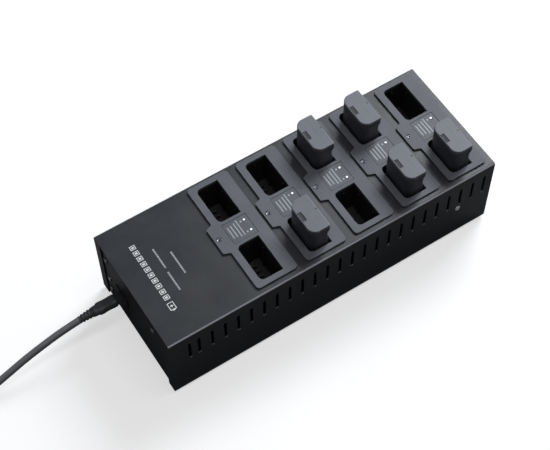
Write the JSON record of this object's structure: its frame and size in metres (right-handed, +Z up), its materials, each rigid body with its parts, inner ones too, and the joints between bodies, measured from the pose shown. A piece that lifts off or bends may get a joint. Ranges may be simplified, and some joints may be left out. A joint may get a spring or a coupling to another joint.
{
  "type": "battery charging station",
  "caption": "Long sheet-metal desktop charger with a row of paired pockets that hold upright battery packs, slotted sides and a plug-in mains lead.",
  "frame": {"origin": "middle of the case and its feet in plan, at the height that the feet stand on", "axes": "+X along the case, away from the mains lead; +Y to the back; +Z up"},
  "size_m": [0.6548, 0.1791, 0.1273],
  "materials": {
    "painted_steel": "fine-textured dark blue-grey powder coat",
    "moulded_plastic": "satin moulded, fine spark texture",
    "legend_film": "printed film with pale line legends",
    "clear_plastic": "clear, domed ends",
    "pack_case_plastic": "black satin",
    "pack_cap_plastic": "dark blue-grey satin",
    "screw_steel": "bright zinc",
    "foot_rubber": "matt",
    "circuit_board": "green solder mask",
    "heat_sink_aluminium": "extruded",
    "ribbon_grey": "ribbed flat cable",
    "inlet_plastic": "black satin",
    "cord_jacket": "black satin vinyl",
    "lead_moulding": "black satin moulding",
    "tie_strap": "black hook-and-loop tape"
  },
  "bodies": {
    "station": {"chassis": "painted_steel", "contact_board_1": "circuit_board", "contact_board_2": "circuit_board", "contact_board_3": "circuit_board", "contact_board_4": "circuit_board", "contact_board_5": "circuit_board", "cover": "painted_steel", "cradle_module_1": "moulded_plastic", "cradle_module_2": "moulded_plastic", "cradle_module_3": "moulded_plastic", "cradle_module_4": "moulded_plastic", "cradle_module_5": "moulded_plastic", "end_screw_1": "screw_steel", "end_screw_2": "screw_steel", "end_screw_3": "screw_steel", "end_screw_4": "screw_steel", "foot_back_left": "foot_rubber", "foot_back_right": "foot_rubber", "foot_front_left": "foot_rubber", "foot_front_right": "foot_rubber", "heat_sink": "heat_sink_aluminium", "legend_plate_1": "legend_film", "legend_plate_2": "legend_film", "legend_plate_3": "legend_film", "legend_plate_4": "legend_film", "legend_plate_5": "legend_film", "light_pipe_1": "clear_plastic", "light_pipe_2": "clear_plastic", "light_pipe_3": "clear_plastic", "light_pipe_4": "clear_plastic", "light_pipe_5": "clear_plastic", "mains_inlet": "inlet_plastic", "module_screw_1": "screw_steel", "module_screw_2": "screw_steel", "module_screw_3": "screw_steel", "module_screw_4": "screw_steel", "module_screw_5": "screw_steel", "power_board": "circuit_board", "ribbon_cable": "ribbon_grey", "side_screw_back": "screw_steel", "side_screw_front": "screw_steel"},
    "pack_2_front": {"pack_case_2_front": "pack_case_plastic", "pack_cap_2_front": "pack_cap_plastic"},
    "pack_3_back": {"pack_case_3_back": "pack_case_plastic", "pack_cap_3_back": "pack_cap_plastic"},
    "pack_4_back": {"pack_case_4_back": "pack_case_plastic", "pack_cap_4_back": "pack_cap_plastic"},
    "pack_4_front": {"pack_case_4_front": "pack_case_plastic", "pack_cap_4_front": "pack_cap_plastic"},
    "pack_5_front": {"pack_case_5_front": "pack_case_plastic", "pack_cap_5_front": "pack_cap_plastic"},
    "lead": {"lead_connector": "lead_moulding", "lead_boot": "lead_moulding", "lead_cord": "cord_jacket", "lead_coil": "cord_jacket", "lead_tail": "cord_jacket", "coil_tie": "tie_strap", "mains_plug": "lead_moulding"}
  },
  "joints": [
    {"name": "pack_2_front_lift", "type": "slide", "parent": "station", "child": "pack_2_front", "axis": [0, 0, 1], "range_m": [0, 0.048]},
    {"name": "pack_3_back_lift", "type": "slide", "parent": "station", "child": "pack_3_back", "axis": [0, 0, 1], "range_m": [0, 0.048]},
    {"name": "pack_4_back_lift", "type": "slide", "parent": "station", "child": "pack_4_back", "axis": [0, 0, 1], "range_m": [0, 0.048]},
    {"name": "pack_4_front_lift", "type": "slide", "parent": "station", "child": "pack_4_front", "axis": [0, 0, 1], "range_m": [0, 0.048]},
    {"name": "pack_5_front_lift", "type": "slide", "parent": "station", "child": "pack_5_front", "axis": [0, 0, 1], "range_m": [0, 0.048]},
    {"name": "lead_unplug", "type": "slide", "parent": "station", "child": "lead", "axis": [-1, 0, 0], "range_m": [0, 0.014]}
  ]
}
